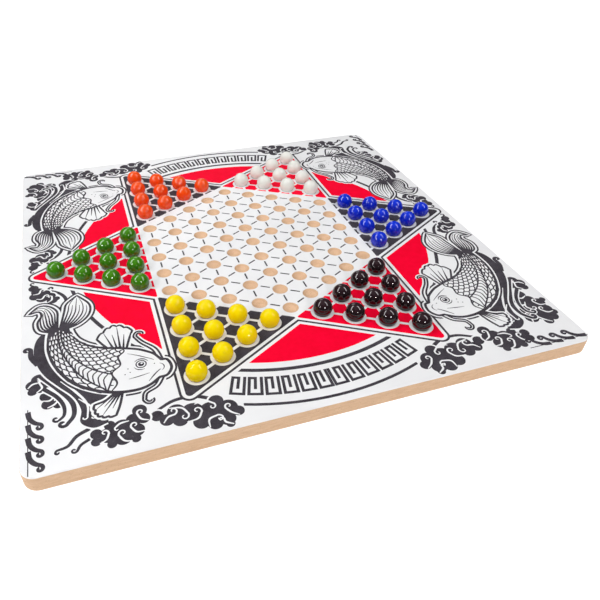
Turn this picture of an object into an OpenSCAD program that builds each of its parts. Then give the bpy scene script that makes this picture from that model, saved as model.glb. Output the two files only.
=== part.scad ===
// Chinese checkers board with its sixty marbles.
// The frame stands on the underside: X runs along the front edge, Y to the back, Z up.

/* [Board] */
// Length of one side of the square board
board_side = 400; // [390:1:440]
// Thickness of the whole board, printed face included
board_t = 12; // [9:0.5:20]
// Radius of the four upright corners
corner_r = 10; // [4:1:18]
// Radius that eases the top and bottom edges
edge_r = 0.8; // [0.4:0.1:1.5]
// Thickness of the white printed face
face_t = 0.3; // [0.2:0.05:0.8]

/* [Seats] */
// Distance between the centres of neighbouring seats
pitch = 24.8; // [20:0.1:25.4]
// Diameter of a seat where it breaks the face
seat_d = 13; // [12.4:0.1:14]
// Depth of a seat at its middle
seat_depth = 3.2; // [2:0.1:3.7]

/* [Marbles] */
// Diameter of a marble
marble_d = 15; // [14:0.1:16]
// Gap left between a marble and the bottom of its seat
seat_gap = 0.05; // [0.02:0.01:0.2]

/* [Hidden] */
// Star points counterclockwise from +X, one every 60 degrees
COLOURS = ["blue", "white", "orange", "green", "yellow", "black"];
SHADES = [
    [0.05, 0.10, 0.80], [0.88, 0.90, 0.86], [1.00, 0.27, 0.02],
    [0.16, 0.50, 0.08], [0.98, 0.85, 0.03], [0.06, 0.06, 0.07]
];
// Marbles of one colour: the digit is the row counted from the tip, the letter the place in it
SEATS = ["tip", "pair", "3a", "3b", "3c", "4a", "4b", "4c", "4d"];

function marble_name(point, seat) = str(COLOURS[point], "_marble_", seat);

$fn = 64;
// The hexagon of seats has this many steps from its middle seat to its corners
HEX_STEPS = 4;
// Rows of seats in one star point
POINT_ROWS = 4;
// Radius of the ball that cuts a seat of the given width and depth
seat_ball_r = (pow(seat_d / 2, 2) + pow(seat_depth, 2)) / (2 * seat_depth);
face_bottom = board_t - face_t;
marble_z = board_t - seat_depth + seat_gap + marble_d / 2;
row_step = pitch * sin(60);

// Rows and places that one marble node fills
function filled(seat) =
    seat == "tip" ? [[1, 1]] :
    seat == "pair" ? [[2, 1], [2, 2]] :
    [[ord(seat[0]) - ord("0"), ord(seat[1]) - ord("a") + 1]];

// Centre of a seat in a star point: the row counts from the tip, the place across it
function point_seat(point, row, place) =
    let (along = (2 * HEX_STEPS + 1 - row) * row_step)
    let (across = (place - (row + 1) / 2) * pitch)
    let (turn = 60 * point)
    [along * cos(turn) - across * sin(turn), along * sin(turn) + across * cos(turn)];

// Centre of a seat in the middle hexagon, q steps at 30 degrees and r steps at 90 degrees
function hex_seat(q, r) = pitch * [q * cos(30), q * sin(30) + r];

hex_seats = [
    for (q = [-HEX_STEPS:HEX_STEPS])
    for (r = [-HEX_STEPS:HEX_STEPS])
    if (abs(q + r) <= HEX_STEPS) hex_seat(q, r)
];
star_seats = [
    for (point = [0:5])
    for (row = [1:POINT_ROWS])
    for (place = [1:row]) point_seat(point, row, place)
];

// Upright section of the board, w wide, with its top and bottom edges eased
module section(w) {
    translate([-w / 2, edge_r]) square([w, board_t - 2 * edge_r]);
    translate([-w / 2 + edge_r, 0]) square([w - 2 * edge_r, board_t]);
    for (x = [-w / 2 + edge_r, w / 2 - edge_r])
        for (y = [edge_r, board_t - edge_r])
            translate([x, y]) circle(edge_r);
}

// The bar of the board that runs along Y, between the rounded corners
module bar() {
    bar_l = board_side - 2 * corner_r;
    translate([0, bar_l / 2, 0]) rotate([90, 0, 0]) linear_extrude(bar_l) section(board_side);
}

// The whole board without its seats
module blank() {
    bar();
    rotate(90) bar();
    corner = board_side / 2 - corner_r;
    for (x = [-corner, corner])
        for (y = [-corner, corner])
            translate([x, y, 0])
                rotate_extrude()
                    intersection() {
                        section(2 * corner_r);
                        square([corner_r, board_t]);
                    }
}

// Everything between two heights
module slab(low, high) {
    translate([-board_side, -board_side, low]) cube([2 * board_side, 2 * board_side, high - low]);
}

// Balls that cut the dished seats
module seat_balls() {
    for (seat = concat(hex_seats, star_seats))
        translate([seat.x, seat.y, board_t - seat_depth + seat_ball_r]) sphere(seat_ball_r);
}

// Fibreboard panel with a dished seat at every point of the star
module board_panel() {
    color([0.83, 0.66, 0.50]) difference() {
        intersection() {
            blank();
            slab(-1, face_bottom);
        }
        seat_balls();
    }
}

// Thin white face that carries the print, cut through at every seat
module printed_face() {
    color([0.93, 0.93, 0.94]) difference() {
        intersection() {
            blank();
            slab(face_bottom, board_t + 1);
        }
        seat_balls();
    }
}

// The marbles of one node, resting in their seats
module marbles(point, seat) {
    color(SHADES[point])
        for (place = filled(seat)) {
            at = point_seat(point, place[0], place[1]);
            translate([at.x, at.y, marble_z]) sphere(d = marble_d);
        }
}

board_panel();
printed_face();
for (point = [0:5])
    for (seat = SEATS)
        marbles(point, seat);
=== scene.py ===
"""Looks of a Chinese checkers board.

A printed face with carp and clouds, a fibreboard edge, and glass marbles.
"""

import math

import bpy
import numpy as np
from mathutils import Euler, Matrix, Vector
from mathutils.geometry import delaunay_2d_cdt


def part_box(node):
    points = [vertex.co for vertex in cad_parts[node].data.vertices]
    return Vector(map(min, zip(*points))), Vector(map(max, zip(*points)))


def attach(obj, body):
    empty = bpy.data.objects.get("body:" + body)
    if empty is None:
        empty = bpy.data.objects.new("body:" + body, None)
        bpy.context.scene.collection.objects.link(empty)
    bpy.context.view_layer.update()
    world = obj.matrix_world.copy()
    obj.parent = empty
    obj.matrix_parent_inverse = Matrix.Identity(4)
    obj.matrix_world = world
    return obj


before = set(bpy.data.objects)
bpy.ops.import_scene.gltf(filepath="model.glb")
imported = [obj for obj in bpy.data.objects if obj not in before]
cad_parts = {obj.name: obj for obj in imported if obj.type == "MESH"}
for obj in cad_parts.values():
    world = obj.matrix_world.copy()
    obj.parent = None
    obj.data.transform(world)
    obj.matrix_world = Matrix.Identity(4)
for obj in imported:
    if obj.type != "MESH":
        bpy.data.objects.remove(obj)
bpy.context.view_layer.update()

# --- Measures -------------------------------------------------------------------------------
# The print is drawn in steps, where one step is the distance between neighbouring seats.

COLOURS = ("blue", "white", "orange", "green", "yellow", "black")
RED_POINTS = ("white", "green", "black")
SEATS = ("tip", "pair", "3a", "3b", "3c", "4a", "4b", "4c", "4d")


def middle(node):
    low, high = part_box(node)
    return (low + high) / 2


STEP = (middle("yellow_marble_4a") - middle("yellow_marble_4b")).length
FACE_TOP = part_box("printed_face")[1].z
INK_HEIGHT = 0.00004   # above the face
INK_SUNK = 0.00001     # below it, so that the two surfaces don't coincide

# Print layers: bare face, then one for each set of inked pieces
PAPER, RED, RINGS, FRET, STAR, CLOUDS, CARP = range(7)

ROW = math.sqrt(3) / 2     # between two rows of seats
EDGE_ROW = 4               # the hexagon's last row of seats, counted from the middle
TIP_ROW = 8                # the seat at the tip of a star point
STAR_GROUND = 3.90         # from the middle to the side of a point's coloured ground
STAR_LINE = (4.00, 4.07)   # to both edges of the star's outline
STAR_GAP = 4.18            # to the outer edge of the white round it
TIP_CENTRE = 3.785         # line distance at which the tips of the star would be sharp
RED_DISC = 6.28            # radius that the red segments reach
RING = (6.51, 6.63)        # both edges of the circle round them
OUTER_ARC = (7.75, 7.84)   # both edges of the arc below a band
OUTER_ARC_END = 71         # degrees, where a cloud covers the end of that arc
CIRCLE_STEP = 2.5          # degrees between the points of the large circles
SEAT_RING = 0.366          # radius of the white ring round a marble
SPOKE = 0.10               # width of the white lines between those rings
LINK_LENGTH = 0.31         # of the short lines between the open seats
LINK_WIDTH = 0.052
NEIGHBOUR = 1.1            # seats closer than this are one step apart
SAME_PLACE_DIGITS = 5      # points that agree to this many decimals of a step are one point


# --- Drawing ---------------------------------------------------------------------------------

def polar(r, degrees, centre=(0.0, 0.0)):
    a = math.radians(degrees)
    return np.array([centre[0] + r * math.cos(a), centre[1] + r * math.sin(a)])


def arc(centre, r, start, end, step):
    """Points along an arc, both ends included, angles in degrees."""
    count = max(2, round(abs(end - start) / step))
    return np.array([polar(r, start + (end - start) * i / count, centre) for i in range(count + 1)])


def disc(centre, r, step=15.0):
    return arc(centre, r, 0, 360 - step, step)


def spline(points, per=6):
    """A smooth curve through given points."""
    p = np.asarray(points, float)
    p = np.vstack([2 * p[0] - p[1], p, 2 * p[-1] - p[-2]])
    t = np.linspace(0, 1, per, endpoint=False)[:, None]
    curve = []
    for a, b, c, d in zip(p, p[1:], p[2:], p[3:]):
        curve.append(b + 0.5 * t * (c - a + t * (2 * a - 5 * b + 4 * c - d + t * (3 * b - a - 3 * c + d))))
    return np.vstack(curve + [p[-2:-1]])


def spiral(centre, outer, inner, start, turns, step=22.0):
    """A spiral winding in from the outer radius; negative turns wind clockwise."""
    count = max(5, round(abs(turns) * 360 / step))
    share = np.linspace(0, 1, count + 1)
    return np.array([
        polar(outer + (inner - outer) * s ** 0.6, start + 360 * turns * s, centre) for s in share
    ])


def sideways(path):
    """Unit normals along a path, on its left."""
    along = np.gradient(path, axis=0)
    along /= np.linalg.norm(along, axis=1)[:, None] + 1e-12   # never divides by nothing
    return np.stack([-along[:, 1], along[:, 0]], axis=1)


def shares(path):
    """How far along a path each of its points is, from 0 to 1."""
    steps = np.linalg.norm(np.diff(path, axis=0), axis=1)
    return np.concatenate([[0], np.cumsum(steps)]) / steps.sum()


def ribbon(path, width, taper=(1, 1)):
    """Outline of a line along a path. taper lists its width from start to end, as shares of width."""
    path = np.asarray(path, float)
    half = 0.5 * width * np.interp(shares(path), np.linspace(0, 1, len(taper)), taper)
    out = sideways(path) * half[:, None]
    return np.vstack([path + out, (path - out)[::-1]])


def between(a, b, share):
    """The curve that lies at a share of the way from curve a to curve b."""
    return a + (b - a) * share


def resample(curve, count):
    """The same curve with evenly spaced points."""
    even = np.linspace(0, 1, count)
    at = shares(curve)
    return np.stack([np.interp(even, at, curve[:, k]) for k in (0, 1)], axis=1)


def closed(outline):
    """An outline that comes back to its first point."""
    return np.vstack([outline, outline[:1]])


class Drawing:
    """Flat shapes, each in one print layer, every new one over those before it."""

    def __init__(self):
        self.shapes = []
        self.layer = PAPER

    def paper(self, outline):
        self.shapes.append((np.asarray(outline, float), PAPER))

    def ink(self, outline):
        self.shapes.append((np.asarray(outline, float), self.layer))

    def line(self, path, width, taper=(1, 1)):
        self.ink(ribbon(path, width, taper))

    def cut(self, path, width, taper=(1, 1)):
        """A white line."""
        self.paper(ribbon(path, width, taper))

    def panel(self, outline, line):
        """A white shape with an inked outline."""
        self.paper(outline)
        self.line(closed(outline), line)


# --- Star, circles and banner, one quarter of them: across to the right and up -------------------

def star_quarter(inradius):
    """A quarter of the star whose lines are inradius from the middle, with rounded tips."""
    notch = 2 * inradius / math.sqrt(3)
    round_r = inradius - TIP_CENTRE
    points = [(0, 0)]
    for tip, start in ((0, 0), (60, 0)):
        centre = polar(2 * TIP_CENTRE, tip)
        points.extend(arc(centre, round_r, start, tip + 60, 15))
        points.append(polar(notch, tip + 30))
    return np.array(points)


def quarter_disc(r):
    return np.vstack([[(0, 0)], arc((0, 0), r, 0, 90, CIRCLE_STEP)])


def draw_rings(d):
    d.layer = RINGS
    d.ink(quarter_disc(RING[1]))
    d.paper(quarter_disc(RING[0]))
    d.layer = RED
    d.ink(quarter_disc(RED_DISC))
    d.layer = RINGS
    inner, outer = OUTER_ARC
    d.line(arc((0, 0), (inner + outer) / 2, 90, OUTER_ARC_END, CIRCLE_STEP), outer - inner)
    d.paper(star_quarter(STAR_GAP))


def draw_fret(d, inner=6.86, outer=7.44, units=6, unit_turn=3.75, width=0.085):
    """Square spirals along half of a band."""
    spiral_path = [(0.10, 0.0), (0.10, 1.0), (0.82, 1.0), (0.82, 0.0), (0.46, 0.0), (0.46, 0.62)]
    d.layer = FRET
    for k in range(units):
        corners = [polar(inner + (outer - inner) * h, 90 - unit_turn * (k + a)) for a, h in spiral_path]
        for a, b in zip(corners, corners[1:]):
            reach = (b - a) / np.linalg.norm(b - a) * width / 2
            d.line([a - reach, b + reach], width)


def draw_star(d):
    d.layer = STAR
    d.ink(star_quarter(STAR_LINE[1]))
    d.paper(star_quarter(STAR_LINE[0]))


# --- Clouds and waves ------------------------------------------------------------------------

def curl_end(path, radius, turns):
    """A smooth path that runs on into a spiral; negative turns wind clockwise."""
    path = spline(path)
    heading = (path[-1] - path[-2]) / np.linalg.norm(path[-1] - path[-2])
    centre = path[-1] + np.array([-heading[1], heading[0]]) * math.copysign(radius, turns)
    across = path[-1] - centre
    start = math.degrees(math.atan2(across[1], across[0]))
    return np.vstack([path, spiral(centre, radius, radius * 0.3, start, turns)[1:]])


def wave(d, path, width, radius, turns, halo=0.045):
    """A dark line that thins towards the curl at its end."""
    whole = curl_end(path, radius, turns)
    if halo:
        d.cut(whole, width + 2 * halo, (1, 0.8, 0.6))
    d.line(whole, width, (1, 0.85, 0.5))


def foam(d, path, radius, turns, width=0.05):
    """A white line that ends in a curl, over a dark mass."""
    d.cut(curl_end(path, radius, turns), width, (0.6, 1.2, 1.0, 0.6))


def cloud(d, lobes, halo=0.055):
    """Round lobes (x, y, radius) merged into one dark mass."""
    for x, y, r in lobes:
        d.paper(disc((x, y), r + halo))
    for x, y, r in lobes:
        d.ink(disc((x, y), r))


def draw_tip_cloud(d):
    """Under the tip of the star, where the outer arc ends."""
    wave(d, [(3.2, 6.98), (3.7, 6.72), (4.25, 6.70), (4.75, 6.92), (5.1, 7.02)], 0.12, 0.09, -0.5)
    cloud(d, [
        (4.74, 7.08, 0.17), (4.52, 7.28, 0.19), (4.25, 7.08, 0.24), (4.20, 7.38, 0.20), (3.85, 7.22, 0.30),
        (3.70, 7.60, 0.22), (3.40, 7.32, 0.30), (3.38, 7.74, 0.20), (3.05, 7.68, 0.22), (2.95, 7.34, 0.26),
        (2.72, 7.52, 0.16), (3.20, 7.04, 0.20), (3.02, 7.86, 0.12),
    ])
    foam(d, [(4.62, 7.36), (4.48, 7.20), (4.30, 7.16)], 0.13, 0.8)
    foam(d, [(4.42, 6.92), (4.10, 7.00), (3.96, 7.24)], 0.13, -0.8)
    foam(d, [(4.05, 7.50), (3.76, 7.46), (3.62, 7.26)], 0.13, 0.85)
    foam(d, [(3.76, 6.98), (3.48, 6.94), (3.26, 7.10)], 0.11, -0.8)
    foam(d, [(3.54, 7.84), (3.50, 7.58), (3.26, 7.50)], 0.12, -0.85)
    foam(d, [(2.72, 7.66), (2.90, 7.52), (3.02, 7.34)], 0.11, -0.85)
    foam(d, [(2.94, 7.90), (3.12, 7.78), (3.14, 7.66)], 0.08, 0.7)


def draw_belly_cloud(d):
    """Below the lower fin."""
    cloud(d, [
        (5.14, 6.76, 0.19), (5.08, 7.04, 0.17), (5.32, 7.02, 0.20), (5.30, 7.36, 0.21), (5.62, 7.18, 0.25),
        (5.64, 7.50, 0.22), (5.96, 7.32, 0.24), (6.26, 7.20, 0.15), (6.28, 7.44, 0.13), (5.92, 7.62, 0.12),
        (5.34, 7.62, 0.12), (5.92, 7.02, 0.14),
    ])
    foam(d, [(4.96, 7.14), (5.14, 7.04), (5.22, 6.84)], 0.10, -0.85)
    foam(d, [(5.10, 7.44), (5.30, 7.42), (5.42, 7.24)], 0.11, -0.85)
    foam(d, [(5.44, 7.66), (5.62, 7.60), (5.74, 7.40)], 0.12, -0.85)
    foam(d, [(6.20, 7.52), (6.04, 7.44), (5.96, 7.26)], 0.11, 0.85)
    foam(d, [(5.44, 7.02), (5.66, 7.04), (5.80, 7.14)], 0.07, 0.6)


def draw_tail_cloud(d):
    """Beyond the tail, by the tip of the side point."""
    wave(d, [(6.74, 2.00), (6.70, 1.50), (6.88, 1.12), (7.20, 0.86)], 0.13, 0.11, -0.8)
    cloud(d, [
        (7.68, 0.62, 0.16), (7.56, 0.84, 0.20), (7.64, 1.08, 0.18), (7.42, 1.22, 0.20), (7.18, 1.18, 0.18),
        (7.12, 1.42, 0.17), (7.32, 0.98, 0.16), (6.98, 1.36, 0.10),
    ])
    foam(d, [(7.70, 0.96), (7.52, 0.94), (7.46, 0.78)], 0.09, -0.85)
    foam(d, [(7.60, 1.22), (7.44, 1.26), (7.34, 1.10)], 0.08, -0.8)
    foam(d, [(7.26, 1.50), (7.14, 1.40), (7.12, 1.22)], 0.07, 0.8)
    wave(d, [(7.60, 0.56), (7.76, 0.42)], 0.08, 0.09, -0.7, halo=0)


def draw_clouds(d):
    d.layer = CLOUDS
    draw_tip_cloud(d)
    draw_belly_cloud(d)
    draw_tail_cloud(d)


def draw_waves(d, start, along, count):
    """A row of curling waves on a line, from start, each as long as along."""
    start, along = np.array(start), np.array(along)
    across = np.array([-along[1], along[0]])
    for k in range(count):
        places = [(-0.50, 0.00), (0.05, 0.10), (0.45, 0.38), (0.66, 0.74)]
        wave(d, [start + (k + u) * along + v * across for u, v in places], 0.14, 0.10, -0.9, halo=0)
    d.line([start - 0.7 * along, start + (count + 0.2) * along], 0.08, (0.3, 1, 1, 1, 0.3))


def draw_side_corner(d):
    """Beside a corner's flank: spray, and waves down the side of the board."""
    d.layer = CLOUDS
    cloud(d, [(7.40, 5.56, 0.17), (7.18, 5.66, 0.20), (7.36, 5.86, 0.17), (7.10, 5.92, 0.15)])
    foam(d, [(7.50, 5.70), (7.32, 5.74), (7.20, 5.62)], 0.09, 0.8)
    foam(d, [(7.38, 5.98), (7.22, 5.92), (7.12, 5.82)], 0.07, 0.7)
    wave(d, [(6.40, 6.98), (6.72, 7.12), (6.94, 7.36), (7.20, 7.42)], 0.11, 0.07, 0.8)
    wave(d, [(6.42, 7.30), (6.64, 7.42), (6.74, 7.58)], 0.09, 0.08, -0.9)
    draw_waves(d, (7.86, 6.20), (0.0, 0.42), 4)


def draw_front_corner(d):
    """Beside a corner's flank: a heavy cloud, and waves along the front of the board."""
    d.layer = CLOUDS
    cloud(d, [
        (7.32, 5.60, 0.19), (7.12, 5.84, 0.22), (7.44, 5.92, 0.20), (7.66, 6.12, 0.20), (7.36, 6.24, 0.26),
        (7.64, 6.46, 0.22), (7.32, 6.60, 0.28), (7.04, 6.36, 0.24), (7.62, 6.80, 0.18), (7.36, 6.94, 0.16),
        (6.94, 6.68, 0.22), (7.86, 6.02, 0.10), (7.80, 6.64, 0.12),
    ])
    foam(d, [(7.46, 5.70), (7.26, 5.78), (7.10, 5.66)], 0.09, 0.8)
    foam(d, [(7.84, 6.24), (7.62, 6.22), (7.50, 6.04)], 0.10, 0.85)
    foam(d, [(7.24, 5.96), (7.12, 6.18), (7.24, 6.36)], 0.11, -0.85)
    foam(d, [(7.80, 6.60), (7.60, 6.60), (7.46, 6.44)], 0.10, 0.85)
    foam(d, [(7.44, 7.02), (7.24, 6.84), (7.08, 6.58)], 0.11, 0.8)
    foam(d, [(6.84, 6.90), (6.90, 6.70), (6.86, 6.50)], 0.07, 0.7)
    draw_waves(d, (7.76, 7.82), (-0.42, 0.0), 4)


def draw_crest(d):
    """The dark wave along the carp's flank, with its curls and sprays."""
    d.layer = CLOUDS
    cloud(d, [
        (7.58, 4.88, 0.20), (7.74, 5.06, 0.18), (7.52, 5.20, 0.19), (7.74, 5.30, 0.13), (7.32, 4.98, 0.18),
    ])
    foam(d, [(7.64, 5.36), (7.50, 5.22), (7.56, 5.02)], 0.09, -0.8)
    foam(d, [(7.86, 5.14), (7.74, 5.02), (7.60, 5.00)], 0.06, 0.6)
    wave(d, [(7.44, 5.30), (7.14, 5.66), (6.98, 6.02), (6.98, 6.34), (7.12, 6.50)], 0.12, 0.10, -0.8)
    wave(d, [(7.52, 4.76), (7.12, 5.34), (6.78, 5.92), (6.74, 6.40), (6.94, 6.70)], 0.17, 0.12, -0.8)
    edge = spline([
        (7.36, 2.88), (7.62, 3.25), (7.70, 3.75), (7.62, 4.30), (7.42, 4.80), (7.08, 5.30), (6.72, 5.80),
        (6.56, 6.30), (6.60, 6.72), (6.30, 6.98), (5.95, 6.92),
    ])
    inside = spline([(5.70, 6.10), (6.60, 5.50), (7.02, 4.50), (7.10, 3.60)])
    d.cut(edge, 0.10)
    d.ink(np.vstack([edge, inside]))
    wave(d, [(7.58, 4.30), (7.76, 3.95), (7.78, 3.62)], 0.18, 0.11, 0.85, halo=0)
    foam(d, [(7.02, 5.12), (6.66, 5.62), (6.40, 6.14), (6.42, 6.60)], 0.08, -0.6, 0.06)
    foam(d, [(6.60, 5.90), (6.28, 6.30), (6.22, 6.62)], 0.07, -0.6, 0.05)


# --- Carp -------------------------------------------------------------------------------------

SPINE = [
    (6.96, 2.86), (6.96, 3.30), (6.86, 3.80), (6.58, 4.32), (6.14, 4.78), (5.60, 5.08), (5.05, 5.26),
    (4.62, 5.36), (4.36, 5.42),
]
GIRTH = (0.27, 0.34, 0.45, 0.60, 0.76, 0.84, 0.80, 0.62, 0.34)   # half widths, evenly spaced along it
GILL = 0.70          # share of the body behind the gill
SCALES_START = 0.02  # share of it before the first scale
SIDE_POINTS = 60     # along each side of the body, from tail to head
CARP_LINE = 0.055
CARP_HALO = 0.07     # white round the outline
CARP_SHADE = 0.06    # dark round that
SCALE_LINE = 0.038
RAY_LINE = 0.05


class Body:
    """Places on the carp's side.

    Along goes from 0 at the tail to 1 at the nose, and across from -1 at the belly to 1 at the back.
    """

    def __init__(self):
        self.spine = spline(SPINE, 10)
        self.normal = sideways(self.spine)
        self.at_share = shares(self.spine)
        knots = np.linspace(0, 1, len(GIRTH))
        self.girth = spline(np.stack([knots, GIRTH], axis=1), 10)[:, 1]
        back = self.curve(0, 1, 1, 1, SIDE_POINTS)
        belly = self.curve(0, 1, -1, -1, SIDE_POINTS)
        snout = spline([back[-1], (4.12, 5.14), (4.06, 5.46), (4.22, 5.72), belly[-1]], 5)
        lip = 8   # the point of the snout's curve where the back's side of it ends
        self.back = np.vstack([back, snout[1:lip + 1]])
        self.belly = np.vstack([belly, snout[:lip:-1]])
        self.outline = np.vstack([self.back, self.belly[::-1]])

    def along_spine(self, values, along):
        return np.interp(along, self.at_share, values)

    def at(self, along, across):
        along = np.atleast_1d(along)
        centre = np.stack([self.along_spine(self.spine[:, k], along) for k in (0, 1)], axis=1)
        normal = np.stack([self.along_spine(self.normal[:, k], along) for k in (0, 1)], axis=1)
        return centre + normal * (self.along_spine(self.girth, along) * across)[:, None]

    def curve(self, start, end, across_start, across_end, count=24):
        share = np.linspace(0, 1, count)
        return self.at(start + (end - start) * share, across_start + (across_end - across_start) * share)


def draw_scales(d, body, columns=15, rows=4):
    """Rows of round scales: every other column is half a row further across."""
    length = GILL / columns
    width = 1 / (rows + 0.2)
    angle = np.radians(np.linspace(-90, 90, 7))
    for i in range(columns + 1):
        for j in range(-rows, rows + 1):
            across = (j + 0.5 * (i % 2)) * width
            if abs(across) > 1:
                continue
            along = SCALES_START + length * (i - 1.05 * np.cos(angle))
            scale = body.at(along, across + 0.5 * width * np.sin(angle))
            d.line(scale, SCALE_LINE, (0.6, 1.3, 0.6))


def draw_flank(d, body, ribs=18):
    """A band of long plates from the tail to the gill, below the middle of the side."""
    share = np.linspace(0, 1, 30)
    along = SCALES_START + (GILL - SCALES_START) * share
    upper = body.at(along, 0.14 - 0.38 * share)
    lower = body.at(along, -0.12 - 0.80 * share ** 1.6)
    d.panel(np.vstack([upper, lower[::-1]]), 0.05)
    for i in range(1, ribs):
        start = i / ribs
        places = ((upper, start), (between(upper, lower, 0.5), start - 0.015), (lower, min(start + 0.04, 1)))
        rib = [[np.interp(at, share, curve[:, k]) for k in (0, 1)] for curve, at in places]
        d.line(spline(rib, 3), SCALE_LINE)


def ahead(side, along):
    """The stretch of a side's outline from this place on the body to the tip of the snout."""
    return side[round(along * (SIDE_POINTS - 1)):]


def draw_eye(d, centre):
    """A ring, a pupil with a glint, and a lid above and below."""
    d.line(closed(disc(centre, 0.14)), 0.036)
    d.ink(disc(centre, 0.085))
    d.paper(disc(centre + (-0.02, -0.03), 0.032))
    d.line(arc(centre, 0.21, 200, 320, 20), 0.045, (0.3, 1, 0.3))
    d.line(arc(centre, 0.22, 20, 110, 20), 0.036, (0.3, 1, 0.3))


def draw_head(d, body):
    """A bare head in front of a wavy gill, with an eye, a mouth and a few creases."""
    ripples = [
        (0.02, -0.96), (0.035, -0.60), (-0.015, -0.20), (0.02, 0.20), (-0.02, 0.55), (0.01, 0.82),
        (0.0, 0.96),
    ]
    gill = spline([body.at(GILL + shift, across)[0] for shift, across in ripples])
    d.paper(np.vstack([ahead(body.back, GILL), ahead(body.belly, GILL + 0.02)[::-1], gill]))
    d.line(gill, 0.05, (0.7, 1.2, 0.8, 1.2, 0.7))
    d.line(body.curve(GILL + 0.05, 0.95, 0.74, 0.60), 0.03, (0.3, 1, 0.5))
    draw_eye(d, body.at(0.865, 0.26)[0])
    d.line(body.curve(0.80, 0.93, -0.45, -0.25, 8), 0.034, (0.3, 1, 0.3))
    d.line(body.curve(0.93, 1.0, -0.75, -0.10, 8), 0.04, (0.4, 1, 0.6))
    d.line(arc(body.at(0.985, 0.1)[0], 0.16, 120, 250, 20), 0.034, (0.3, 1, 0.3))
    for along, across in ((0.78, 0.02), (0.80, -0.14), (0.77, -0.24), (0.955, 0.35)):
        d.ink(disc(body.at(along, across)[0], 0.018))


def fan(side_a, side_b, rays, arch, scallop=0.05):
    """Outline and rays of a fin with a scalloped edge, between two side curves from its root."""
    a, b = (resample(spline(side, 6), 16) for side in (side_a, side_b))
    share = np.linspace(0, 1, 5 * rays + 1)
    out = a[-1] + b[-1] - a[-4] - b[-4]
    out /= np.linalg.norm(out)
    rise = arch * np.sin(np.pi * share) + scallop * np.abs(np.sin(np.pi * rays * share))
    edge = between(a[-1], b[-1], share[:, None]) + out * rise[:, None]
    lines = []
    for k in range(1, rays):
        root = between(a[0], b[0], k / rays)
        tip = edge[5 * k]
        lines.append(between(root, tip, np.linspace(0, 0.95 if k % 2 else 0.7, 8)[:, None]))
    return np.vstack([a, edge[1:-1], b[::-1]]), lines


def leaf(side_a, side_b, rays):
    """A tail lobe's outline and rays: two side curves that start at the root and meet in a point."""
    a, b = (resample(spline(side, 6), 22) for side in (side_a, side_b))
    lines = [between(a, b, k / rays)[:20 - 5 * (k % 2)] for k in range(1, rays)]
    return np.vstack([a, b[-2::-1]]), lines


def carp_tail():
    return [
        leaf([(7.02, 2.92), (7.00, 2.45), (7.00, 2.05), (7.20, 1.74), (7.52, 1.64), (7.84, 1.96)],
             [(7.16, 3.02), (7.50, 2.84), (7.58, 2.45), (7.46, 2.14), (7.54, 1.90), (7.84, 1.96)], 7),
        leaf([(6.80, 2.98), (6.38, 2.82), (6.06, 2.45), (6.02, 1.95), (6.36, 1.40)],
             [(6.94, 2.86), (6.86, 2.50), (6.78, 2.10), (6.70, 1.75), (6.36, 1.40)], 7),
    ]


def carp_fins():
    return [
        fan([(5.56, 4.36), (5.78, 4.02), (5.94, 3.72)],
            [(5.18, 4.42), (5.04, 3.98), (4.90, 3.62)], 5, 0.38, 0.07),
        fan([(5.62, 5.92), (5.92, 6.16), (6.22, 6.24)],
            [(5.46, 5.96), (5.58, 6.40), (5.72, 6.74)], 5, 0.20),
    ]


def draw_whisker(d, path, width, radius, turns):
    """A white barbel with inked sides that ends in a curl."""
    whole = curl_end(path, radius, turns)
    taper = (1, 0.9, 0.8, 0.7)
    d.cut(whole, width + 0.24, taper)
    d.line(whole, width + 0.12, taper)
    d.cut(whole, width, (1, 0.7, 0.4, 0.2))


def draw_carp(d):
    """A carp with a dark shade and, inside that, a white halo all round it."""
    d.layer = CARP
    body = Body()
    tail, fins = carp_tail(), carp_fins()
    shaded = [closed(outline) for outline, _ in tail] + [closed(body.outline)]
    for outline in shaded:
        d.line(outline, CARP_LINE + 2 * CARP_HALO + 2 * CARP_SHADE)
    for outline in shaded + [closed(outline) for outline, _ in fins]:
        d.cut(outline, CARP_LINE + 2 * CARP_HALO)
    for outline, rays in tail + fins:
        d.panel(outline, CARP_LINE + 0.015)
        for ray in rays:
            d.line(ray, RAY_LINE, (1.7, 1.1, 0.7, 0.3))
    draw_whisker(d, [(4.30, 5.10), (4.40, 4.62), (4.70, 4.22), (4.86, 3.92)], 0.075, 0.17, -0.6)
    draw_whisker(d, [(4.34, 5.66), (4.56, 6.02), (4.88, 6.20), (4.96, 6.44)], 0.065, 0.16, 0.6)
    d.paper(body.outline)
    draw_scales(d, body)
    draw_flank(d, body)
    draw_head(d, body)
    draw_root(d, body)
    # Along the belly, round the snout and back along the back, to a little short of the tail
    outline = np.vstack([body.belly, body.back[::-1][:SIDE_POINTS]])
    d.line(outline, CARP_LINE + 0.03, (0.6, 1, 1.2, 1.2, 1, 1, 1, 0.6))


def draw_root(d, body):
    """The dark wedge where the tail leaves the body."""
    inner = body.at([0.07, 0.04, 0.03, 0.04, 0.07], [0.6, 0.3, 0.0, -0.3, -0.6])
    d.ink(np.vstack([body.curve(0.0, 0.10, 1, 1, 6), inner, body.curve(0.10, 0.0, -1, -1, 6)]))


# --- Star points and the hexagon ------------------------------------------------------------

def near_pairs(seats):
    """Every two seats that are one step apart."""
    pairs = []
    for i, a in enumerate(seats):
        pairs.extend((a, b) for b in seats[i + 1:] if np.linalg.norm(a - b) < NEIGHBOUR)
    return pairs


def point_row(row):
    """The seats in one row across the star point on +X."""
    count = TIP_ROW + 1 - row
    return [np.array([row * ROW, k - (count - 1) / 2]) for k in range(count)]


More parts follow.
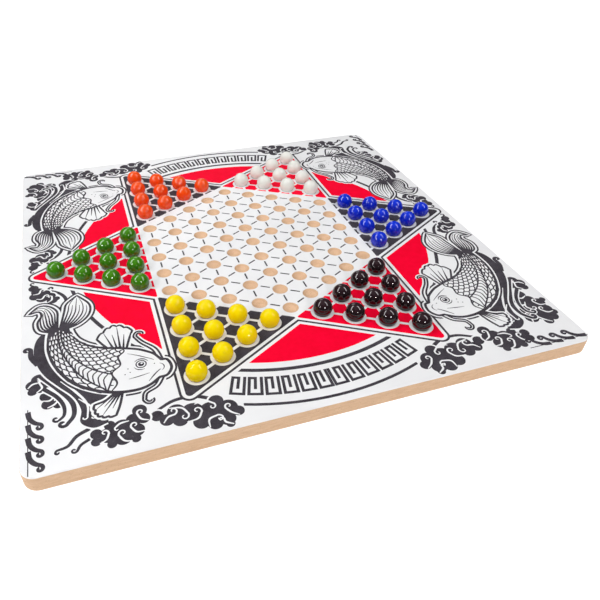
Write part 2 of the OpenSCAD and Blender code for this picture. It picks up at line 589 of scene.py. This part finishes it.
def draw_point(d):
    """The ground of the star point on +X: cells between white rings round its seats and white spokes."""
    d.layer = STAR
    corner = 2 * STAR_GROUND / math.sqrt(3)
    tip = arc(polar(2 * TIP_CENTRE, 0), STAR_GROUND - TIP_CENTRE, -60, 60, 15)
    d.ink(np.vstack([[polar(corner, -30)], tip, [polar(corner, 30)]]))
    edge_seats = point_row(EDGE_ROW)
    marble_seats = [seat for row in range(EDGE_ROW + 1, TIP_ROW + 1) for seat in point_row(row)]
    for a, b in near_pairs(edge_seats + marble_seats):
        d.cut([a, b], SPOKE)
    for side in (-30, 30):
        d.cut([polar(EDGE_ROW, side), polar(EDGE_ROW + 1, side)], SPOKE)
    for seat in marble_seats:
        d.paper(disc(seat, SEAT_RING, 9))


def draw_links(d):
    """Short lines between the open seats, each halfway between two of them."""
    d.layer = STAR
    rows = range(-EDGE_ROW, EDGE_ROW + 1)
    seats = [np.array([q * ROW, q / 2 + r]) for q in rows for r in rows if abs(q + r) <= EDGE_ROW]
    for a, b in near_pairs(seats):
        centre, half = (a + b) / 2, (b - a) * LINK_LENGTH / 2
        d.line([centre - half, centre + half], LINK_WIDTH)


# --- From drawings to solids ----------------------------------------------------------------

def winding(points, outline):
    """How many times an outline goes round each point."""
    turns = np.zeros(len(points), int)
    for a, b in zip(outline, np.roll(outline, -1, axis=0)):
        side = (b[0] - a[0]) * (points[:, 1] - a[1]) - (b[1] - a[1]) * (points[:, 0] - a[0])
        turns += (a[1] <= points[:, 1]) & (points[:, 1] < b[1]) & (side > 0)
        turns -= (b[1] <= points[:, 1]) & (points[:, 1] < a[1]) & (side < 0)
    return turns


def layers_at(points, shapes):
    """The print layer of the last shape over each point."""
    layers = np.zeros(len(points), int)
    for outline, layer in shapes:
        near = ((points > outline.min(axis=0)) & (points < outline.max(axis=0))).all(axis=1)
        near = np.flatnonzero(near)
        layers[near[winding(points[near], outline) != 0]] = layer
    return layers


def triangles_between(points, edges, shapes):
    """Triangles that keep to the given edges, with their print layers."""
    found = delaunay_2d_cdt([Vector(p) for p in points], edges, [], 0, 10 ** -SAME_PLACE_DIGITS)
    points, triangles = np.array(found[0]), np.array(found[2])
    return points, triangles, layers_at(points[triangles].mean(axis=1), shapes)


def flatten(drawing):
    """Cuts a drawing into triangles: points, triangles, and the print layer of each."""
    edges, points = [], []
    for outline, _ in drawing.shapes:
        first, count = len(points), len(outline)
        points.extend(outline)
        edges.extend((first + i, first + (i + 1) % count) for i in range(count))
    points, triangles, layers = triangles_between(points, edges, drawing.shapes)
    # Keep only the lines where the layer changes, and cut again
    beside = {}
    for triangle, layer in zip(triangles, layers):
        for a, b in zip(triangle, np.roll(triangle, -1)):
            beside.setdefault((min(a, b), max(a, b)), []).append(layer)
    kept = [e for e, sides in beside.items() if len(set(sides)) > 1 or (len(sides) == 1 and sides[0])]
    used, renumbered = np.unique(np.array(kept), return_inverse=True)
    edges = [tuple(e) for e in renumbered.reshape(-1, 2).tolist()]
    return triangles_between(points[used], edges, drawing.shapes)


def weld(points, triangles):
    """Joins points that are at the same place and drops those that are not used."""
    rounded = np.round(points, SAME_PLACE_DIGITS)
    _, first, same = np.unique(rounded, axis=0, return_index=True, return_inverse=True)
    triangles = same.reshape(-1)[triangles]
    used, triangles = np.unique(triangles, return_inverse=True)
    return points[first][used], triangles.reshape(-1, 3)


def facing_up(points, triangles):
    """The triangles, each with its corners counter-clockwise."""
    a, b, c = (points[triangles[:, k]] for k in range(3))
    area = (b[:, 0] - a[:, 0]) * (c[:, 1] - a[:, 1]) - (b[:, 1] - a[:, 1]) * (c[:, 0] - a[:, 0])
    return np.where(area[:, None] > 0, triangles, triangles[:, ::-1])


def ink_solid(points, triangles):
    """Corners and faces of a thin closed solid on the face, over triangles whose points are in steps."""
    count = len(points)
    flat = points * STEP
    low = np.column_stack([flat, np.full(count, FACE_TOP - INK_SUNK)])
    high = np.column_stack([flat, np.full(count, FACE_TOP + INK_HEIGHT)])
    sides = triangles[:, [0, 1, 1, 2, 2, 0]].reshape(-1, 2)
    directed = set(map(tuple, sides.tolist()))
    rim = np.array([(i, j) for i, j in directed if (j, i) not in directed])
    walls = np.column_stack([rim[:, 1] + count, rim[:, 0] + count, rim[:, 0], rim[:, 1]])
    faces = (triangles + count).tolist() + triangles[:, ::-1].tolist() + walls.tolist()
    return np.vstack([low, high]).tolist(), faces


def print_piece(name, points, triangles, colour):
    """One piece of the print, in charcoal or red."""
    points, triangles = weld(points, triangles)
    corners, faces = ink_solid(points, facing_up(points, triangles))
    mesh = bpy.data.meshes.new(name)
    mesh.from_pydata(corners, [], faces)
    mesh.materials.append(INKS[colour])
    piece = bpy.data.objects.new(name, mesh)
    bpy.context.scene.collection.objects.link(piece)
    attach(piece, "board")


def turned(points, degrees):
    """The points turned counter-clockwise about the middle."""
    a = math.radians(degrees)
    return points @ np.array([[math.cos(a), math.sin(a)], [-math.sin(a), math.cos(a)]])


def draw_quarter(draw_corner):
    """A quarter of the border art, from back to front, with the given corner ornament."""
    drawing = Drawing()
    draw_rings(drawing)
    draw_fret(drawing)
    draw_clouds(drawing)
    draw_star(drawing)
    draw_corner(drawing)
    draw_crest(drawing)
    draw_carp(drawing)
    return flatten(drawing)


WHOLE_PIECES = (
    ("red_segments", RED, "red"),
    ("ring_lines", RINGS, "charcoal"),
    ("banner_fret", FRET, "charcoal"),
    ("star_outline", STAR, "charcoal"),
)


def print_quarters():
    """Draws the border art of the two kinds of corner and mirrors each to two opposite corners."""
    side_quarter, front_quarter = draw_quarter(draw_side_corner), draw_quarter(draw_front_corner)
    corners = {
        "front_left": ((-1, -1), side_quarter),
        "front_right": ((1, -1), front_quarter),
        "back_left": ((-1, 1), front_quarter),
        "back_right": ((1, 1), side_quarter),
    }
    for name, layer, colour in WHOLE_PIECES:
        all_points, all_triangles = np.empty((0, 2)), np.empty((0, 3), int)
        for mirror, (points, triangles, layers) in corners.values():
            all_triangles = np.vstack([all_triangles, triangles[layers == layer] + len(all_points)])
            all_points = np.vstack([all_points, points * mirror])
        print_piece(name, all_points, all_triangles, colour)
    for corner, (mirror, (points, triangles, layers)) in corners.items():
        print_piece(f"clouds_{corner}", points * mirror, triangles[layers == CLOUDS], "charcoal")
        print_piece(f"carp_{corner}", points * mirror, triangles[layers == CARP], "charcoal")


def print_points():
    """The coloured grounds of the six star points, each turned to its own marbles."""
    drawing = Drawing()
    draw_point(drawing)
    points, triangles, layers = flatten(drawing)
    for colour in COLOURS:
        tip = middle(f"{colour}_marble_tip")
        angle = math.degrees(math.atan2(tip.y, tip.x))
        ground = "red" if colour in RED_POINTS else "charcoal"
        print_piece(f"point_ground_{colour}", turned(points, angle), triangles[layers == STAR], ground)


def print_links():
    """The short lines between the open seats of the hexagon."""
    drawing = Drawing()
    draw_links(drawing)
    points, triangles, layers = flatten(drawing)
    print_piece("seat_links", points, triangles[layers == STAR], "charcoal")


# --- Materials ------------------------------------------------------------------------------

def srgb(r, g, b):
    """A colour in screen numbers from 0 to 255, as the linear one that shaders take."""
    shares_of_full = (r / 255, g / 255, b / 255)
    linear = [c / 12.92 if c <= 0.04045 else ((c + 0.055) / 1.055) ** 2.4 for c in shares_of_full]
    return (*linear, 1.0)


class Finish:
    """A Principled material that is being put together. Its patterns lie in the frame, in metres."""

    def __init__(self, name, **sockets):
        self.material = bpy.data.materials.new(name)
        self.material.use_nodes = True
        self.tree = self.material.node_tree
        self.shader = self.tree.nodes["Principled BSDF"]
        for socket, value in sockets.items():
            self.shader.inputs[socket.replace("_", " ")].default_value = value
        self.place = self.node("TexCoord").outputs["Object"]

    def node(self, kind, **settings):
        made = self.tree.nodes.new("ShaderNode" + kind)
        for setting, value in settings.items():
            setattr(made, setting, value)
        return made

    def join(self, output, socket):
        self.tree.links.new(output, socket)

    def stretched(self, x, y, z):
        """Frame places multiplied by x, y and z, for a pattern that runs along one way."""
        mapping = self.node("Mapping")
        mapping.inputs["Scale"].default_value = (x, y, z)
        self.join(self.place, mapping.inputs["Vector"])
        return mapping.outputs["Vector"]

    def noise(self, size, detail=3, roughness=0.55, distortion=0, place=None):
        """Cloudy noise whose blotches are about this size, in metres."""
        noise = self.node("TexNoise")
        noise.inputs["Scale"].default_value = 1 / size
        noise.inputs["Detail"].default_value = detail
        noise.inputs["Roughness"].default_value = roughness
        noise.inputs["Distortion"].default_value = distortion
        self.join(place or self.place, noise.inputs["Vector"])
        return noise.outputs["Fac"]

    def specks(self, size):
        """Distance to the nearest of scattered points, about this size apart."""
        cells = self.node("TexVoronoi")
        cells.inputs["Scale"].default_value = 1 / size
        self.join(self.place, cells.inputs["Vector"])
        return cells.outputs["Distance"]

    def ramp(self, factor, *stops):
        """Colours or values along a factor: stops are (position, colour or value)."""
        ramp = self.node("ValToRGB")
        elements = ramp.color_ramp.elements
        while len(elements) < len(stops):
            elements.new(0.5)
        for element, (position, value) in zip(elements, stops):
            element.position = position
            element.color = value if isinstance(value, tuple) else (value, value, value, 1)
        self.join(factor, ramp.inputs["Fac"])
        return ramp.outputs["Color"]

    def blend(self, factor, a, b, how="MIX"):
        """Colour a where factor is 0 and b where it is 1."""
        mix = self.node("Mix", data_type="RGBA", blend_type=how)
        sockets = {socket.identifier: socket for socket in mix.inputs}
        for key, value in (("Factor_Float", factor), ("A_Color", a), ("B_Color", b)):
            if isinstance(value, bpy.types.NodeSocket):
                self.join(value, sockets[key])
            else:
                sockets[key].default_value = value
        return next(output for output in mix.outputs if output.identifier == "Result_Color")

    def height(self, low, high):
        """From 0 to 1 as the frame's z goes from low to high."""
        split = self.node("SeparateXYZ")
        self.join(self.place, split.inputs["Vector"])
        to_share = self.node("MapRange")
        to_share.inputs["From Min"].default_value = low
        to_share.inputs["From Max"].default_value = high
        self.join(split.outputs["Z"], to_share.inputs["Value"])
        return to_share.outputs["Result"]

    def bump(self, height, depth, strength=1.0):
        """Relief of this depth in metres."""
        bump = self.node("Bump")
        bump.inputs["Strength"].default_value = strength
        bump.inputs["Distance"].default_value = depth
        self.join(height, bump.inputs["Height"])
        self.join(bump.outputs["Normal"], self.shader.inputs["Normal"])

    def colour(self, output):
        self.join(output, self.shader.inputs["Base Color"])

    def roughness(self, factor, smooth, rough):
        self.join(self.ramp(factor, (0.3, smooth), (0.7, rough)), self.shader.inputs["Roughness"])


def white_face():
    """Satin white lacquer with a faint orange peel."""
    f = Finish("white_lacquer", Specular_IOR_Level=0.3, Coat_Weight=0.1, Coat_Roughness=0.25)
    f.colour(f.ramp(f.noise(0.06, 4), (0.35, srgb(236, 236, 238)), (0.65, srgb(242, 242, 243))))
    f.roughness(f.noise(0.003, 4), 0.32, 0.44)
    f.bump(f.noise(0.0011, 2), 0.000008)
    return f.material


def ink(name, deep, worn, speck):
    """Screen ink: a little uneven, with fine pale specks where the face shows through."""
    f = Finish(name, Specular_IOR_Level=0.04)
    body = f.ramp(f.noise(0.008, 5, 0.65), (0.35, deep), (0.68, worn))
    grain = f.ramp(f.noise(0.00035, 2), (0.66, 0.0), (0.76, 0.55))
    f.colour(f.blend(grain, body, speck))
    f.roughness(f.noise(0.002, 4), 0.48, 0.62)
    f.bump(f.noise(0.0006, 3), 0.000012)
    return f.material


def fibreboard():
    """Pressed wood fibre: pale streaks along the edge, fine fibres and a few dark flecks."""
    f = Finish("fibreboard", Specular_IOR_Level=0.25)
    layers = f.noise(0.009, 5, 0.6, 0.4, f.stretched(1, 1, 7))
    dark, plain, pale = srgb(216, 176, 141), srgb(225, 187, 152), srgb(232, 196, 162)
    body = f.ramp(layers, (0.30, dark), (0.5, plain), (0.72, pale))
    fibres = f.ramp(f.noise(0.0007, 4, 0.7, 1.0, f.stretched(1, 1, 2.5)), (0.35, 0.86), (0.65, 1.0))
    body = f.blend(1.0, body, fibres, "MULTIPLY")
    flecks = f.ramp(f.specks(0.0022), (0.10, 0.30), (0.17, 0.0))
    f.colour(f.blend(flecks, body, srgb(140, 96, 66)))
    f.roughness(layers, 0.68, 0.85)
    f.bump(f.noise(0.0005, 4, 0.7, 0.5, f.stretched(1, 1, 2)), 0.00006, 0.6)
    return f.material


def marble(colour):
    """Glass: slow swirls from deep to clear, painted light and shade below, painted light on top, and a
    polished skin.
    """
    # low is painted light and shade below the middle and top is painted light on top; deep and clear are the
    # glass's own colours
    low, deep, clear, top = (srgb(*shade) for shade in GLASS_TINTS_AND_PAINTED_LIGHT[colour])
    gloss, milky = GLASS_GLOSS[colour], MILKY_GLASS.get(colour, 0.0)
    f = Finish(f"{colour}_glass", Specular_IOR_Level=gloss, Subsurface_Weight=milky)
    f.shader.inputs["Subsurface Radius"].default_value = (0.006, 0.006, 0.006)
    swirl = f.ramp(f.noise(0.006, 4, 0.6, 1.6), (0.36, deep), (0.64, clear))
    # Painted light and shade: below the middle the colour turns towards low
    painted_underside_mask = f.ramp(f.height(MARBLE_LOW, MARBLE_MIDDLE), (0.30, 1.0), (0.95, 0.0))
    # Painted light: above the middle the colour turns towards top
    painted_top_light_mask = f.ramp(f.height(MARBLE_MIDDLE, MARBLE_HIGH), (0.20, 0.0), (0.95, 1.0))
    f.colour(f.blend(painted_top_light_mask, f.blend(painted_underside_mask, swirl, low), top))
    f.roughness(f.noise(0.0015, 4), 0.03, 0.06)
    f.bump(f.noise(0.0026, 2), 0.00006)
    return f.material


def put_on(node, material):
    """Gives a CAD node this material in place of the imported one."""
    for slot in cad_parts[node].material_slots:
        slot.material = material


INKS = {
    "charcoal": ink("charcoal_ink", srgb(60, 56, 62), srgb(76, 72, 79), srgb(150, 148, 154)),
    "red": ink("red_ink", srgb(244, 0, 44), srgb(254, 0, 52), srgb(250, 36, 76)),
}
MARBLE_LOW, MARBLE_HIGH = (corner.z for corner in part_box("yellow_marble_tip"))
MARBLE_MIDDLE = (MARBLE_LOW + MARBLE_HIGH) / 2
# Screen colours of each glass: painted light and shade below, its deep and its clear swirls, and painted
# light on top
GLASS_TINTS_AND_PAINTED_LIGHT = {
    "blue": ((0, 14, 150), (0, 18, 168), (0, 34, 205), (0, 50, 214)),
    "white": ((234, 243, 237), (234, 236, 230), (238, 237, 230), (238, 238, 232)),
    "orange": ((255, 68, 0), (255, 60, 0), (255, 78, 0), (250, 82, 0)),
    "green": ((56, 100, 0), (36, 100, 0), (54, 124, 0), (66, 136, 6)),
    "yellow": ((255, 218, 0), (252, 213, 0), (254, 223, 0), (252, 224, 0)),
    "black": ((30, 10, 14), (14, 5, 8), (26, 13, 17), (44, 26, 32)),
}
GLASS_GLOSS = {"blue": 0.7, "white": 0.5, "orange": 0.68, "green": 0.75, "yellow": 0.25, "black": 0.6}
MILKY_GLASS = {"white": 0.8}
GLASS = {colour: marble(colour) for colour in COLOURS}


# --- Making the pieces ----------------------------------------------------------------------

put_on("board_panel", fibreboard())
put_on("printed_face", white_face())
for colour in COLOURS:
    for seat in SEATS:
        put_on(f"{colour}_marble_{seat}", GLASS[colour])
print_quarters()
print_points()
print_links()


# --- Studio ---------------------------------------------------------------------------------

def add_sheet(name, corners, faces, glow):
    """White paper round the board, lit a little from within so that it stays white far away."""
    paint = Finish(f"{name}_paper", Roughness=0.9, Emission_Strength=glow)
    paint.shader.inputs["Base Color"].default_value = (0.3, 0.3, 0.3, 1)
    paint.shader.inputs["Emission Color"].default_value = (1, 1, 1, 1)
    mesh = bpy.data.meshes.new(name)
    mesh.from_pydata(corners, [], faces)
    mesh.materials.append(paint.material)
    sheet = bpy.data.objects.new(name, mesh)
    bpy.context.scene.collection.objects.link(sheet)
    return sheet


def add_floor():
    """The sheet that the board lies on, a hair below its underside so that the two don't coincide."""
    half, z = 6.0, -0.0001
    corners = [(-half, -half, z), (half, -half, z), (half, half, z), (-half, half, z)]
    add_sheet("floor", corners, [(0, 1, 2, 3)], 0.95)


def add_backdrop():
    """A curved white wall far round the board. It lights nothing: only the camera sees it."""
    bend, far, top, sides = 1.0, 5.9, 3.5, 96
    profile = np.vstack([arc((far - bend, bend), bend, -90, 0, 10), [(far, top)]])   # radius and height
    corners = [(*polar(r, 360 * k / sides), z) for r, z in profile for k in range(sides)]
    faces = []
    for ring in range(len(profile) - 1):
        for k in range(sides):
            a, b = ring * sides + k, ring * sides + (k + 1) % sides
            faces.append((a, a + sides, b + sides, b))
    wall = add_sheet("backdrop", corners, faces, 1.0)
    wall.visible_diffuse = False
    wall.visible_glossy = False
    wall.visible_shadow = False


def area_light(name, shape, size, power):
    light = bpy.data.lights.new(name, "AREA")
    light.shape = shape
    light.size, light.size_y = size
    light.energy = power
    lamp = bpy.data.objects.new(name, light)
    bpy.context.scene.collection.objects.link(lamp)
    return lamp


def add_lamp(name, place, width, power):
    """A round lamp that faces the board."""
    lamp = area_light(name, "DISK", (width, width), power)
    lamp.location = place
    lamp.rotation_euler = (-Vector(place)).to_track_quat("-Z", "Y").to_euler()


def add_strip(name, start, end, width, power):
    """A long box of light from start to end that faces the board."""
    start, end = Vector(start), Vector(end)
    lamp = area_light(name, "RECTANGLE", (width, (end - start).length), power)
    along = (end - start).normalized()
    centre = (start + end) / 2
    away = (centre - centre.dot(along) * along).normalized()
    axes = Matrix((along.cross(away), along, away)).transposed()
    lamp.matrix_world = Matrix.Translation(centre) @ axes.to_4x4()


def add_studio():
    """Dim white surroundings, a strip over each side, two small lamps in front and two soft ones above."""
    world = bpy.data.worlds.new("surroundings")
    world.use_nodes = True
    sky = world.node_tree.nodes["Background"]
    sky.inputs["Color"].default_value = (1, 1, 1, 1)
    sky.inputs["Strength"].default_value = 0.09
    bpy.context.scene.world = world
    add_strip("strip_left", (-1.05, -0.08, 0.58), (-0.22, 0.70, 1.23), 0.20, 7.7)
    add_strip("strip_right", (0.84, -0.72, 0.83), (0.59, 0.29, 1.35), 0.20, 6.4)
    add_lamp("lamp_left", (-0.75, -0.42, 0.55), 0.08, 2.0)
    add_lamp("lamp_front", (0.10, -1.30, 0.72), 0.12, 4.4)
    add_lamp("soft_back", (0.20, 1.60, 1.00), 0.8, 3.0)
    add_lamp("soft_top", (0.00, 0.20, 1.80), 2.4, 2.0)


def add_camera():
    """In front of the board and a little to its left, looking down to the right."""
    camera = bpy.data.objects.new("camera", bpy.data.cameras.new("camera"))
    camera.data.lens = 33.976
    camera.data.sensor_width = 36
    camera.data.shift_x = 0.0674
    camera.data.shift_y = -0.0029
    camera.data.clip_start = 0.01
    pitch, heading, roll = (math.radians(degrees) for degrees in (51.60, -18.06, 0.49))
    facing = Euler((pitch, 0, heading)).to_matrix() @ Matrix.Rotation(roll, 3, "Z")
    camera.matrix_world = Matrix.Translation((-0.1291, -0.4165, 0.2915)) @ facing.to_4x4()
    bpy.context.scene.collection.objects.link(camera)
    bpy.context.scene.camera = camera


add_floor()
add_backdrop()
add_studio()
add_camera()
bpy.context.scene.view_settings.view_transform = "Standard"
